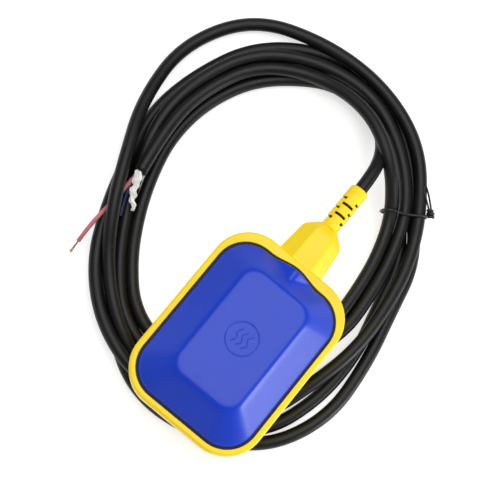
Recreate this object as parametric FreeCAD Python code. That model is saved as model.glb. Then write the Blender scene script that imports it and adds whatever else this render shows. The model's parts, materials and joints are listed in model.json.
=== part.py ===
"""Float level switch: an oblong two-shell float with a tapered nose, a slotted boot and a
three-core cable that lies in a loose coil under it.  Inside the float a sealed capsule holds
a steel ball, which rolls against the lever of a microswitch.

All sizes are millimetres.  +X runs along the float towards the cable, +Z is up.  The origin
is the middle of the box round the float with its nose and boot.
"""
import FreeCAD, Part
import math
import os

V = FreeCAD.Vector
X, Y, Z = V(1, 0, 0), V(0, 1, 0), V(0, 0, 1)

# ---------------------------------------------------------------- float shells
body_length = 109.0          # lower shell, nose left out
body_width = 81.5
body_height = 41.5
body_corner = 22.0           # plan radius of the outer corners
rim_width = 4.5              # yellow margin round the blue shell
wall = 2.5                   # both shells
draft = 2.5                  # how far the tub's foot is drawn in
foot_round = 5.0
rim_round = 1.8
seam_z = 3.2                 # top of the yellow rim
seam_gap = 1.2               # groove that the seam gasket fills
gasket_sink = 0.9            # gasket lies this far below the rim
ledge_z = -1.0               # ledge that carries the blue shell
ledge_depth = 5.0
shoulder_z = 3.6             # where the blue slopes begin
pad_length = 68.0            # flat raised pad of the blue shell
pad_width = 41.0
pad_corner = 5.0
pad_round = 4.0
shoulder_round = 3.0
lobe_reach = 2.4             # bulge of the blue shell towards the nose
lobe_half = 14.0
scoop_floor_z = 5.0          # scoop in the blue shell behind the nose
scoop_radius = 9.0
scoop_top_radius = 17.0
ring_radius = 9.2            # plain raised ring on the pad
ring_width = 0.9
ring_height = 0.35
level_line_count = 3         # wavy water-level lines inside the ring
level_line_pitch = 3.4
level_line_half = 4.6

# ---------------------------------------------------------------- nose and boot
nose_length = 22.0
nose_root_half = 14.4        # half width where it leaves the tub
nose_tip_half = 11.2
nose_root_top = 3.0
nose_tip_top = 2.2
nose_root_bevel = 8.5
nose_tip_bevel = 5.0
nose_foot_bevel = 3.5
nose_round = 1.2
cable_z = -7.5               # height of the cable's axis in nose and boot
boot_length = 33.0           # beyond the nose
boot_collar_radius = 8.6
boot_collar_length = 2.4
boot_cone_length = 6.0
boot_radius = 6.3
boot_plug_radius = 7.6       # part held inside the nose
boot_plug_length = 12.0
boot_end_round = 2.2
slot_ring_count = 5
slot_ring_pitch = 3.5
slot_first = 12.4            # first ring of slots, from the nose's end
slot_width = 1.4
slot_top_half_angle = 42.0   # half spread of a slot on top and below
slot_side_half_angle = 32.0

# ---------------------------------------------------------------- cable
cable_diameter = 7.5
core_diameter = 2.4
copper_diameter = 1.1
core_pitch_radius = 1.6      # cores about the cable's axis
fit_gap = 0.1                # between pieces that sit in one another
rest_gap = 0.3               # between the float's foot and the coil
coil_layers = 2

# ---------------------------------------------------------------- capsule
capsule_end_room = 16.25     # float's end to capsule's end
capsule_width = 46.0
capsule_wall = 2.0
capsule_corner = 5.0
capsule_shift = 2.5          # towards the rear, clear of the scoop
capsule_foot_gap = 1.0       # capsule's floor above the float's
capsule_top_z = 2.6
capsule_seal = 1.0
lid_thickness = 2.5
post_inset = 4.2             # lid-screw posts, from the capsule's faces
post_radius = 3.4
lid_screw_radius = 1.25
lid_screw_length = 8.0
ear_y = 15.0
ear_reach = 7.9
ear_thickness = 2.5
ear_height = 6.25            # underside of the fixing ears, above the capsule's foot
ear_half = 3.8
fixing_screw_radius = 1.5
fixing_screw_length = 9.0
screw_head_radius = 2.7
screw_head_height = 1.7

# ---------------------------------------------------------------- ball and track
ball_diameter = 15.0
ball_run_room = 63.5         # capsule's length that the ball's run doesn't take
ball_to_face = 21.4          # capsule's rear face to plunger face, less the ball's run
ball_y = -5.5
ball_gap = 0.2               # rolling clearance below and beside the ball
track_floor = 1.4
track_wall = 1.2
track_height = 9.8

# ---------------------------------------------------------------- microswitch
switch_depth = 15.9          # along X
switch_span = 27.8           # along Y
switch_thickness = 10.3      # along Z
switch_wall = 1.6
switch_mid_z = -6.0
mount_hole_y = 11.1
mount_hole_inset = 2.8
mount_hole_radius = 1.55
mount_boss_radius = 2.4
lever_pivot_y = 11.5
lever_pivot_out = 1.6        # pin ahead of the plunger face
lever_pin_radius = 0.6
lever_knuckle_radius = 1.2
lever_thickness = 0.5
lever_width = 5.0
lever_tip_y = -12.0
plunger_y = 2.5
plunger_radius = 1.6
plunger_clearance = 0.08
plunger_flange_radius = 2.3
touch_gap = 0.05
blade_in = 8.2               # moving blade, behind the plunger face
blade_thickness = 0.3
blade_width = 4.0
blade_roll_radius = 0.45     # rolled end on which the blade swings
contact_y = -9.0
contact_radius = 1.2
contact_proud = 0.55         # moving contact either side of the blade
contact_travel = 0.75
rivet_height = 0.8
strip_thickness = 0.6
strip_width = 4.75
tab_length = 6.3
tab_hole_radius = 0.8
common_strip_y = 7.5
open_strip_y = -3.0
closed_strip_y = -11.3

# ---------------------------------------------------------------- cord clamp inside
clamp_length = 6.0
clamp_half_width = 11.0
clamp_height = 5.0
clamp_screw_y = 7.6
clamp_to_front = 5.2         # clamp's front face, behind the capsule's front face
sheath_past_clamp = 2.0
clamp_screw_bite = 5.0       # thread below the clamp
switch_screw_gap = 1.1       # screw's tip above the capsule's floor
core_bend = 1.7              # bend radius inside the capsule

# ---------------------------------------------------------------- derived places
overall_length = body_length + nose_length + boot_length
rear_x = -overall_length / 2
front_x = rear_x + body_length
nose_x = front_x + nose_length
boot_x = nose_x + boot_length
middle_x = (rear_x + front_x) / 2
foot_z = -body_height / 2
roof_z = body_height / 2
pad_z = roof_z - ring_height
cap_length = body_length - 2 * rim_width
cap_width = body_width - 2 * rim_width
cap_corner = body_corner - rim_width
cable_radius = cable_diameter / 2
core_radius = core_diameter / 2
floor_z = foot_z - rest_gap - coil_layers * cable_diameter
capsule_length = body_length - 2 * capsule_end_room
capsule_foot_z = foot_z + wall + capsule_foot_gap
ear_z = capsule_foot_z + ear_height
ball_travel = capsule_length - ball_run_room
capsule_x = middle_x - capsule_shift
capsule_rear = capsule_x - capsule_length / 2
capsule_front = capsule_x + capsule_length / 2
capsule_floor_z = capsule_foot_z + capsule_wall
face_x = capsule_rear + ball_travel + ball_to_face
switch_rear_x = face_x + switch_depth
switch_low_z = switch_mid_z - switch_thickness / 2
switch_high_z = switch_mid_z + switch_thickness / 2
pivot_x = face_x - lever_pivot_out
lever_x = pivot_x - lever_knuckle_radius           # face that the ball meets
blade_x = face_x + blade_in
common_low_y = common_strip_y - strip_thickness / 2
blade_pivot_y = common_low_y - touch_gap - blade_roll_radius
ball_x = lever_x - fit_gap - ball_diameter / 2
tab_end_x = switch_rear_x + tab_length + fit_gap
clamp_x = capsule_front - clamp_to_front
sheath_end_x = clamp_x - clamp_length - sheath_past_clamp


# ---------------------------------------------------------------- helpers
def rounded_rectangle(length, width, radius, x, z):
    """Wire of a rectangle with round corners, centred on (x, 0) at height z."""
    a, b = length / 2, width / 2
    c = radius * (1 - math.sqrt(0.5))
    edges = []
    for sx, sy, turn in ((1, 1, 0), (-1, 1, 1), (-1, -1, 0), (1, -1, 1)):
        along = V(x + sx * (a - radius), sy * b, z)
        across = V(x + sx * a, sy * (b - radius), z)
        middle = V(x + sx * (a - c), sy * (b - c), z)
        first, last = (across, along) if turn == 0 else (along, across)
        if edges:
            edges.append(Part.LineSegment(edges[-1].Vertexes[-1].Point, first).toShape())
        edges.append(Part.Arc(first, middle, last).toShape())
    edges.append(Part.LineSegment(edges[-1].Vertexes[-1].Point, edges[0].Vertexes[0].Point).toShape())
    return Part.Wire(edges)


def slab(length, width, radius, x, low, high):
    """Block with round vertical corners between two heights."""
    return Part.Face(rounded_rectangle(length, width, radius, x, low)).extrude(V(0, 0, high - low))


def box(x0, x1, y0, y1, z0, z1):
    """Block from its lowest to its highest corner."""
    return Part.makeBox(x1 - x0, y1 - y0, z1 - z0, V(x0, y0, z0))


def rod(radius, start, direction, length):
    """Cylinder from a point along a direction."""
    return Part.makeCylinder(radius, length, start, direction)


def revolve(profile, axis_point):
    """Solid turned about the line through axis_point along X; profile holds (x, radius)."""
    points = [V(px, axis_point.y, axis_point.z + pr) for px, pr in profile]
    wire = Part.makePolygon(points + [points[0]])
    return Part.Face(wire).revolve(axis_point, X, 360)


def level_edges(shape, height, tolerance=0.01):
    """Edges of a shape that lie wholly at one height."""
    return [e for e in shape.Edges
            if abs(e.BoundBox.ZMin - height) < tolerance and abs(e.BoundBox.ZMax - height) < tolerance]


def tube(points, radius, bend):
    """Round bar along straight runs joined by tangent arcs of one bend radius."""
    pieces = []
    start = points[0]
    for i in range(1, len(points)):
        end = points[i]
        if i < len(points) - 1:
            back = (points[i - 1] - points[i]).normalize()
            ahead = (points[i + 1] - points[i]).normalize()
            half = back.getAngle(ahead) / 2
            reach = bend[i - 1] / math.tan(half)
            end = points[i] + back * reach
            leave = points[i] + ahead * reach
            normal = back.cross(ahead).normalize()
            centre = points[i] + (back + ahead).normalize() * (bend[i - 1] / math.sin(half))
            turn = 180 - math.degrees(2 * half)
            disc = Part.Face(Part.Wire(Part.makeCircle(radius, end, back)))
            pieces.append(disc.revolve(centre, normal * -1, turn))
        pieces.append(rod(radius, start, (end - start).normalize(), (end - start).Length))
        if i < len(points) - 1:
            start = leave
    solid = pieces[0].fuse(pieces[1:]) if len(pieces) > 1 else pieces[0]
    return solid.removeSplitter()


def soft_bends(points, share=0.45):
    """Arc radius at each inner point: as large as the shorter of its two runs allows."""
    radii = []
    for i in range(1, len(points) - 1):
        back = points[i - 1] - points[i]
        ahead = points[i + 1] - points[i]
        turn = math.pi - back.getAngle(ahead)
        radii.append(share * min(back.Length, ahead.Length) / math.tan(turn / 2))
    return radii


def screw(x, y, seat_z, radius, length):
    """Pan-head screw pointing down, its head resting at seat_z, with a cross recess."""
    head = rod(screw_head_radius, V(x, y, seat_z), Z, screw_head_height)
    head = head.makeFillet(0.5 * screw_head_height, level_edges(head, seat_z + screw_head_height))
    shank = rod(radius, V(x, y, seat_z - length), Z, length)
    arm, half = 0.75 * screw_head_radius, 0.14 * screw_head_radius
    top = seat_z + screw_head_height
    deep = 0.55 * screw_head_height
    cross = box(x - arm, x + arm, y - half, y + half, top - deep, top).fuse(
        box(x - half, x + half, y - arm, y + arm, top - deep, top))
    return head.fuse(shank).cut(cross).removeSplitter()


def group(solids):
    """Separate solids that share one node."""
    return Part.makeCompound(solids)


# ---------------------------------------------------------------- float shells
def cap_outline_block(grow, low, high):
    """Plan of the blue shell, grown outwards, as a block: round rectangle with the nose lobe."""
    block = slab(cap_length + 2 * grow, cap_width + 2 * grow, cap_corner + grow, middle_x, low, high)
    lobe_radius = (lobe_half ** 2 + lobe_reach ** 2) / (2 * lobe_reach)
    tip = middle_x + cap_length / 2 + lobe_reach
    disc = rod(lobe_radius + grow, V(tip - lobe_radius, 0, low), Z, high - low)
    half = lobe_half + grow
    band = box(middle_x, tip + grow + 1, -half, half, low, high)
    return block.fuse(disc.common(band)).removeSplitter()


def cap_form(inset, low):
    """Blue shell's solid form drawn in by inset: straight skirt, then slopes to a flat pad."""
    base_l, base_w = cap_length - 2 * inset, cap_width - 2 * inset
    base = rounded_rectangle(base_l, base_w, cap_corner - inset, middle_x, shoulder_z)
    top_z = pad_z - inset
    pad = rounded_rectangle(pad_length - inset, pad_width - inset, pad_corner, middle_x, top_z)
    dome = Part.makeLoft([base, pad], True, True)
    skirt = slab(base_l, base_w, cap_corner - inset, middle_x, low, shoulder_z)
    form = skirt.fuse(dome).removeSplitter()
    if inset == 0:
        form = form.makeFillet(shoulder_round, level_edges(form, shoulder_z))
        form = form.makeFillet(pad_round, level_edges(form, top_z))
    return form


def scoop_cone(grow):
    """Round scoop that opens upwards, centred on the front edge of the blue shell."""
    rise = roof_z - scoop_floor_z
    low = scoop_floor_z - grow
    centre = V(middle_x + cap_length / 2, 0, low)
    return Part.makeCone(scoop_radius + grow, scoop_top_radius + grow, rise + grow, centre, Z)


def make_upper_shell():
    """Blue shell: domed pad, scoop with its own wall behind, lobe, ring mark and level lines."""
    low = ledge_z + fit_gap
    outer = cap_form(0, low)
    lobe = cap_outline_block(0, low, shoulder_z)
    outer = outer.fuse(lobe).removeSplitter()
    outer = outer.cut(scoop_cone(0))
    inner = cap_form(wall, low).cut(scoop_cone(wall))
    shell = outer.cut(inner)
    low = pad_z - ring_height
    mark = rod(ring_radius, V(middle_x, 0, low), Z, 2 * ring_height).cut(
        rod(ring_radius - ring_width, V(middle_x, 0, low), Z, 2 * ring_height))
    shell = shell.fuse(mark)
    for i in range(level_line_count):
        x = middle_x + (i - (level_line_count - 1) / 2) * level_line_pitch
        shell = shell.fuse(wave_line(x))
    return shell.removeSplitter()


def wave_line(x):
    """One raised wavy line across the float, two equal arcs bent opposite ways."""
    half, swing = level_line_half, 0.9
    low, tall = pad_z - ring_height, 2 * ring_height
    sides = []
    for shift in (-ring_width / 2, ring_width / 2):
        sides.append([V(x + shift, -half, low), V(x + shift + swing, -half / 2, low), V(x + shift, 0, low),
                      V(x + shift - swing, half / 2, low), V(x + shift, half, low)])
    a, b = sides
    wire = Part.Wire([Part.Arc(a[0], a[1], a[2]).toShape(), Part.Arc(a[2], a[3], a[4]).toShape(),
                      Part.LineSegment(a[4], b[4]).toShape(),
                      Part.Arc(b[4], b[3], b[2]).toShape(), Part.Arc(b[2], b[1], b[0]).toShape(),
                      Part.LineSegment(b[0], a[0]).toShape()])
    return Part.Face(wire).extrude(V(0, 0, tall))


def nose_section(x, half, top, bevel):
    """Eight-sided section of the nose across X."""
    low = 2 * cable_z - top
    foot = nose_foot_bevel
    corners = [(half - bevel, top), (half, top - bevel), (half, low + foot), (half - foot, low),
               (foot - half, low), (-half, low + foot), (-half, top - bevel), (bevel - half, top)]
    points = [V(x, py, pz) for py, pz in corners]
    return Part.makePolygon(points + [points[0]])


def make_lower_shell():
    """Yellow shell: drafted tub, rounded rim, ledge for the blue shell, bosses and the nose."""
    bend_z = ledge_z - ledge_depth
    foot = rounded_rectangle(body_length - 2 * draft, body_width - 2 * draft, body_corner - draft,
                             middle_x, foot_z)
    waist = rounded_rectangle(body_length, body_width, body_corner, middle_x, bend_z)
    tub = Part.makeLoft([foot, waist], True, True)
    tub = tub.fuse(slab(body_length, body_width, body_corner, middle_x, bend_z, seam_z)).removeSplitter()
    tub = tub.makeFillet(foot_round, level_edges(tub, foot_z))
    tub = tub.makeFillet(rim_round, level_edges(tub, seam_z))
    root = nose_section(front_x - rim_width, nose_root_half, nose_root_top, nose_root_bevel)
    tip = nose_section(nose_x, nose_tip_half, nose_tip_top, nose_tip_bevel)
    nose = Part.makeLoft([root, tip], True, True)
    tip_edges = [e for e in nose.Edges if abs(e.BoundBox.XMin - nose_x) < 0.01]
    nose = nose.makeFillet(nose_round, tip_edges)
    shell = tub.fuse(nose)
    inset = draft + wall
    cavity_foot = rounded_rectangle(body_length - 2 * inset, body_width - 2 * inset, body_corner - inset,
                                    middle_x, foot_z + wall)
    cavity_waist = rounded_rectangle(body_length - 2 * wall, body_width - 2 * wall, body_corner - wall,
                                     middle_x, bend_z)
    cavity = Part.makeLoft([cavity_foot, cavity_waist], True, True)
    neck = 2 * (rim_width + wall + 1)
    cavity = cavity.fuse(slab(body_length - neck, body_width - neck, body_corner - neck / 2, middle_x,
                              bend_z, seam_z))
    shell = shell.cut(cavity).cut(cap_outline_block(seam_gap, ledge_z, seam_z + 10))
    for x, y in fixing_places():
        boss = rod(ear_half, V(x, y, foot_z + wall / 2), Z, ear_z - fit_gap - foot_z - wall / 2)
        hole = rod(fixing_screw_radius + fit_gap, V(x, y, ear_z - fit_gap - fixing_screw_length), Z,
                   fixing_screw_length)
        shell = shell.fuse(boss).cut(hole)
    axis = V(front_x - 4 * wall, 0, cable_z)
    shell = shell.cut(rod(cable_radius + fit_gap, axis, X, nose_length + 5 * wall))
    plug = V(nose_x - boot_plug_length - fit_gap, 0, cable_z)
    shell = shell.cut(rod(boot_plug_radius + fit_gap, plug, X, boot_plug_length + 1))
    return shell.removeSplitter()


def make_seam_gasket():
    """Flat strip in the groove between the two shells."""
    low, high = ledge_z + fit_gap, seam_z - gasket_sink
    return cap_outline_block(seam_gap - fit_gap, low, high).cut(cap_outline_block(fit_gap, low, high))


# ---------------------------------------------------------------- boot
def slot_cutter(x, middle_angle, half_angle):
    """Wedge-shaped ring piece that cuts one slot through the boot's wall."""
    outer, inner = boot_radius + 1, cable_radius + fit_gap
    ring = rod(outer, V(x - slot_width / 2, 0, cable_z), X, slot_width).cut(
        rod(inner, V(x - slot_width / 2, 0, cable_z), X, slot_width))
    far = 2 * outer
    low, high = math.radians(middle_angle - half_angle), math.radians(middle_angle + half_angle)
    corners = [V(x - slot_width, 0, cable_z),
               V(x - slot_width, far * math.cos(low), cable_z + far * math.sin(low)),
               V(x - slot_width, far * math.cos(high), cable_z + far * math.sin(high))]
    wedge = Part.Face(Part.makePolygon(corners + [corners[0]])).extrude(V(2 * slot_width, 0, 0))
    return ring.common(wedge)


def make_boot():
    """Strain-relief boot: plug in the nose, collar, cone and a sleeve with staggered slots."""
    cone_start = nose_x + boot_collar_length
    sleeve_start = cone_start + boot_cone_length
    inner = cable_radius + fit_gap
    boot = revolve([(nose_x - boot_plug_length, inner), (boot_x, inner), (boot_x, boot_radius),
                    (sleeve_start, boot_radius), (cone_start, boot_collar_radius - 0.6),
                    (nose_x + fit_gap, boot_collar_radius), (nose_x + fit_gap, boot_plug_radius),
                    (nose_x - boot_plug_length, boot_plug_radius)], V(0, 0, cable_z))
    end = [e for e in boot.Edges if abs(e.BoundBox.XMin - boot_x) < 0.01
           and e.BoundBox.ZLength > 2 * boot_radius - 0.01]
    boot = boot.makeFillet(boot_end_round, end)
    for i in range(slot_ring_count):
        x = nose_x + slot_first + i * slot_ring_pitch
        if i % 2 == 0:
            angles, spread = (0, 180), slot_side_half_angle
        else:
            angles, spread = (90, 270), slot_top_half_angle
        for angle in angles:
            boot = boot.cut(slot_cutter(x, angle, spread))
    return boot


# ---------------------------------------------------------------- capsule
def fixing_places():
    """Centres of the four screws that hold the capsule to the lower shell."""
    reach = ear_reach - ear_half
    return [(x, y) for x in (capsule_rear - reach, capsule_front + reach) for y in (-ear_y, ear_y)]


def lid_screw_places():
    """Centres of the four lid screws."""
    return [(x, y) for x in (capsule_rear + post_inset, capsule_front - post_inset)
            for y in (post_inset - capsule_width / 2, capsule_width / 2 - post_inset)]


def switch_screw_places():
    """Centres of the switch's two mounting holes, set on a diagonal."""
    return [(face_x + mount_hole_inset, -mount_hole_y), (switch_rear_x - mount_hole_inset, mount_hole_y)]


def make_capsule_base():
    """Open tray with lid posts, switch bosses, clamp saddle, fixing ears and a cable hole."""
    tray = slab(capsule_length, capsule_width, capsule_corner, capsule_x, capsule_foot_z, capsule_top_z)
    tray = tray.cut(slab(capsule_length - 2 * capsule_wall, capsule_width - 2 * capsule_wall,
                         capsule_corner - capsule_wall, capsule_x, capsule_floor_z, capsule_top_z))
    hollow_high = capsule_top_z - capsule_floor_z
    for x, y in lid_screw_places():
        tray = tray.fuse(rod(post_radius, V(x, y, capsule_floor_z), Z, hollow_high))
    for x, y in switch_screw_places():
        tray = tray.fuse(rod(mount_boss_radius + 0.8, V(x, y, capsule_floor_z), Z,
                             switch_low_z - fit_gap - capsule_floor_z))
    tray = tray.fuse(box(clamp_x - clamp_length, clamp_x, -clamp_half_width, clamp_half_width,
                         capsule_floor_z, cable_z - fit_gap))
    for x, y in fixing_places():
        ear = rod(ear_half, V(x, y, ear_z), Z, ear_thickness)
        inward = capsule_rear + 0.5 if x < capsule_x else capsule_front - 0.5
        web = box(min(x, inward), max(x, inward), y - ear_half, y + ear_half, ear_z, ear_z + ear_thickness)
        tray = tray.fuse(ear).fuse(web)
        tray = tray.cut(rod(fixing_screw_radius + fit_gap, V(x, y, ear_z), Z, ear_thickness))
    for x, y in lid_screw_places():
        tray = tray.cut(rod(lid_screw_radius + fit_gap, V(x, y, capsule_top_z - lid_screw_length), Z,
                            lid_screw_length))
    for x, y in switch_screw_places():
        tray = tray.cut(rod(fixing_screw_radius, V(x, y, capsule_floor_z), Z,
                            switch_low_z - capsule_floor_z))
    tray = tray.cut(rod(cable_radius + fit_gap, V(clamp_x - clamp_length, 0, cable_z), X, clamp_length))
    for side in (-1, 1):
        tray = tray.cut(rod(fixing_screw_radius, V(clamp_x - clamp_length / 2, side * clamp_screw_y,
                                                   capsule_floor_z), Z, cable_z - capsule_floor_z))
    tray = tray.cut(rod(grommet_neck_radius + fit_gap, V(capsule_front - capsule_wall - 1, 0, cable_z), X,
                        capsule_wall + 2))
    return tray.removeSplitter()


def make_capsule_gasket():
    """Flat frame gasket between tray and lid, with an eyelet round each lid screw."""
    low, high = capsule_top_z, capsule_top_z + capsule_seal
    frame = slab(capsule_length, capsule_width, capsule_corner, capsule_x, low, high).cut(
        slab(capsule_length - 2 * capsule_wall, capsule_width - 2 * capsule_wall,
             capsule_corner - capsule_wall, capsule_x, low, high))
    for x, y in lid_screw_places():
        frame = frame.fuse(rod(post_radius, V(x, y, low), Z, capsule_seal))
    for x, y in lid_screw_places():
        frame = frame.cut(rod(lid_screw_radius + fit_gap, V(x, y, low), Z, capsule_seal))
    return frame.removeSplitter()


def make_capsule_lid():
    """Lid with a shallow stiffening panel and four screw holes."""
    low = capsule_top_z + capsule_seal
    lid = slab(capsule_length, capsule_width, capsule_corner, capsule_x, low, low + lid_thickness)
    recess = slab(capsule_length - 8 * capsule_wall, capsule_width - 8 * capsule_wall,
                  capsule_corner - capsule_wall, capsule_x, low + 0.6 * lid_thickness, low + lid_thickness)
    lid = lid.cut(recess)
    for x, y in lid_screw_places():
        lid = lid.cut(rod(lid_screw_radius + fit_gap, V(x, y, low), Z, lid_thickness))
    return lid


grommet_neck_radius = cable_radius + 1.7
grommet_flange_radius = cable_radius + 3.2
grommet_flange = 1.2


def make_entry_grommet():
    """Rubber grommet that seals the sheath in the capsule's front wall."""
    inside, outside = capsule_front - capsule_wall - fit_gap, capsule_front + fit_gap
    bore = cable_radius + fit_gap
    return revolve([(inside - grommet_flange, bore), (outside + grommet_flange, bore),
                    (outside + grommet_flange, grommet_flange_radius - 0.5),
                    (outside, grommet_flange_radius), (outside, grommet_neck_radius),
                    (inside, grommet_neck_radius), (inside, grommet_flange_radius),
                    (inside - grommet_flange, grommet_flange_radius - 0.5)], V(0, 0, cable_z))


def make_cord_clamp():
    """Bridge that presses the sheath into its saddle."""
    low = cable_z + fit_gap
    bridge = box(clamp_x - clamp_length, clamp_x, -clamp_half_width, clamp_half_width, low,
                 low + clamp_height)
    bridge = bridge.cut(rod(cable_radius + fit_gap, V(clamp_x - clamp_length, 0, cable_z), X, clamp_length))
    for side in (-1, 1):
        bridge = bridge.cut(rod(fixing_screw_radius + fit_gap,
                                V(clamp_x - clamp_length / 2, side * clamp_screw_y, low), Z, clamp_height))
    return bridge


# ---------------------------------------------------------------- ball and track
def make_ball_track():
    """Cradle with a floor, two cheeks and a stop at the far end."""
    low = capsule_floor_z + fit_gap
    stop_x = ball_x - ball_travel - ball_diameter / 2 - ball_gap
    back_x = stop_x - track_wall
    fore_x = ball_x + ball_diameter / 4
    half = ball_diameter / 2 + ball_gap
    outer = half + track_wall
    track = box(back_x, fore_x, ball_y - outer, ball_y + outer, low, low + track_height)
    return track.cut(box(stop_x, fore_x, ball_y - half, ball_y + half, low + track_floor,
                         low + track_height))


def make_ball():
    """Steel ball resting against the lever."""
    z = capsule_floor_z + fit_gap + track_floor + ball_gap + ball_diameter / 2
    return Part.makeSphere(ball_diameter / 2, V(ball_x, ball_y, z))


# ---------------------------------------------------------------- microswitch
def switch_ear(low, high):
    """Lug ahead of the plunger face that carries one end of the lever's pin."""
    lug = rod(lever_knuckle_radius + 0.4, V(pivot_x, lever_pivot_y, low), Z, high - low)
    root = box(pivot_x, face_x + 0.2, lever_pivot_y - lever_knuckle_radius - 0.4,
               lever_pivot_y + lever_knuckle_radius + 0.4, low, high)
    return lug.fuse(root)


def pin_hole(low, high):
    """Hole for the lever's pin through one lug."""
    return rod(lever_pin_radius + touch_gap, V(pivot_x, lever_pivot_y, low), Z, high - low)


def strip_slots():
    """Openings in the case for the three terminal strips."""
    z0, z1 = switch_mid_z - strip_width / 2 - fit_gap, switch_mid_z + strip_width / 2 + fit_gap
    half = strip_thickness / 2 + fit_gap
    slots = [box(switch_rear_x - switch_wall - 0.1, switch_rear_x + 0.1, y - half, y + half, z0, z1)
             for y in (common_strip_y, open_strip_y, closed_strip_y)]
    return slots[0].fuse(slots[1:])


def make_switch_case():
    """Half case of the microswitch: floor, walls, screw bosses, plunger bore and pin lug."""
    span = switch_span / 2
    high = switch_high_z - switch_wall - fit_gap
    case = box(face_x, switch_rear_x, -span, span, switch_low_z, high)
    case = case.cut(box(face_x + switch_wall, switch_rear_x - switch_wall, switch_wall - span,
                        span - switch_wall, switch_low_z + switch_wall, high))
    for x, y in switch_screw_places():
        case = case.fuse(rod(mount_boss_radius, V(x, y, switch_low_z), Z, high - switch_low_z))
    lug_low, lug_high = switch_low_z, switch_mid_z - lever_width / 2 - 3 * fit_gap
    case = case.fuse(switch_ear(lug_low, lug_high)).cut(pin_hole(lug_low, lug_high))
    for x, y in switch_screw_places():
        case = case.cut(rod(mount_hole_radius, V(x, y, switch_low_z), Z, switch_thickness))
    case = case.cut(rod(plunger_radius + plunger_clearance,
                        V(face_x - 1, plunger_y, switch_mid_z), X, switch_wall + 2))
    return case.cut(strip_slots()).removeSplitter()


def make_switch_cover():
    """Flat cover of the microswitch with the second pin lug."""
    low = switch_high_z - switch_wall
    span = switch_span / 2
    cover = box(face_x, switch_rear_x, -span, span, low, switch_high_z)
    cover = cover.fuse(switch_ear(low, switch_high_z)).cut(pin_hole(low, switch_high_z))
    for x, y in switch_screw_places():
        cover = cover.cut(rod(mount_hole_radius, V(x, y, low), Z, switch_wall))
    return cover.removeSplitter()


def make_lever():
    """Sheet lever with a curled knuckle round the pin and a turned-over tip."""
    low = switch_mid_z - lever_width / 2
    knuckle = rod(lever_knuckle_radius, V(pivot_x, lever_pivot_y, low), Z, lever_width)
    blade = box(lever_x, lever_x + lever_thickness, lever_tip_y, lever_pivot_y, low, low + lever_width)
    tip = rod(1.5 * lever_thickness, V(lever_x + 1.5 * lever_thickness, lever_tip_y, low), Z, lever_width)
    lever = knuckle.fuse(blade).fuse(tip)
    bore = rod(lever_pin_radius + touch_gap, V(pivot_x, lever_pivot_y, low), Z, lever_width)
    return lever.cut(bore).removeSplitter()


def make_lever_pin():
    """Steel pin through both lugs and the knuckle."""
    return rod(lever_pin_radius, V(pivot_x, lever_pivot_y, switch_low_z), Z, switch_thickness)


def make_plunger():
    """Plunger with a domed tip, a retaining flange and a flat inner end."""
    axis = V(0, plunger_y, switch_mid_z)
    tip = lever_x + lever_thickness + touch_gap
    end = blade_x - blade_thickness / 2 - touch_gap
    flange = face_x + switch_wall + contact_travel + 0.6
    body = revolve([(tip + 0.5, 0), (end, 0), (end, plunger_radius), (flange + 1, plunger_radius),
                    (flange + 1, plunger_flange_radius), (flange, plunger_flange_radius),
                    (flange, plunger_radius), (tip + 0.5, plunger_radius)], axis)
    dome = Part.makeSphere(2.8, V(tip + 2.8, plunger_y, switch_mid_z))
    cap = dome.common(rod(plunger_radius, V(tip, plunger_y, switch_mid_z), X, 0.6))
    return body.fuse(cap).removeSplitter()


def make_blade():
    """Spring blade from its rolled end to the moving contact."""
    half = blade_thickness / 2
    low = switch_mid_z - blade_width / 2
    leaf = box(blade_x - half, blade_x + half, contact_y - contact_radius, blade_pivot_y,
               low, low + blade_width)
    roll = rod(blade_roll_radius, V(blade_x, blade_pivot_y, low), Z, blade_width)
    rivet_hole = rod(0.6 * contact_radius, V(blade_x - 1, contact_y, switch_mid_z), X, 2)
    return leaf.fuse(roll).cut(rivet_hole)


def make_moving_contact():
    """Double-faced rivet in the blade."""
    half = blade_thickness / 2
    proud = contact_proud
    neck = 0.6 * contact_radius - 0.02
    return revolve([(blade_x - half - proud, 0), (blade_x + half + proud, 0),
                    (blade_x + half + proud, contact_radius), (blade_x + half, contact_radius),
                    (blade_x + half, neck), (blade_x - half, neck), (blade_x - half, contact_radius),
                    (blade_x - half - proud, contact_radius)], V(0, contact_y, switch_mid_z))


def strip(x0, x1, y0, y1, width=strip_width):
    """Flat terminal strip standing on edge."""
    return box(x0, x1, y0, y1, switch_mid_z - width / 2, switch_mid_z + width / 2)


def tab_hole(y):
    """Wire hole near the end of a terminal tab."""
    return rod(tab_hole_radius, V(switch_rear_x + 0.75 * tab_length, y - 2, switch_mid_z), Y, 4)


def make_common_terminal():
    """Straight strip that ends over the blade's rolled end."""
    outer = strip(blade_x - blade_roll_radius, switch_rear_x + tab_length, common_low_y,
                  common_low_y + strip_thickness)
    return outer.cut(tab_hole(common_strip_y))


open_face_x = blade_x + blade_thickness / 2 + contact_proud + touch_gap
closed_face_x = blade_x - blade_thickness / 2 - contact_proud - contact_travel - touch_gap


def make_open_terminal():
    """Strip with a foot behind the normally open contact."""
    half = strip_thickness / 2
    foot_x = open_face_x + rivet_height
    tab = strip(foot_x, switch_rear_x + tab_length, open_strip_y - half, open_strip_y + half)
    foot = strip(foot_x, foot_x + strip_thickness, contact_y - contact_radius - 0.4, open_strip_y + half)
    return tab.fuse(foot).removeSplitter().cut(tab_hole(open_strip_y))


def make_closed_terminal():
    """Strip that runs along the side wall and turns in ahead of the normally closed contact."""
    half = strip_thickness / 2
    foot_x = closed_face_x - rivet_height
    tab = strip(foot_x - strip_thickness, switch_rear_x + tab_length, closed_strip_y - half,
                closed_strip_y + half)
    foot = strip(foot_x - strip_thickness, foot_x, closed_strip_y - half, contact_y + contact_radius)
    return tab.fuse(foot).removeSplitter().cut(tab_hole(closed_strip_y))


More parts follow.
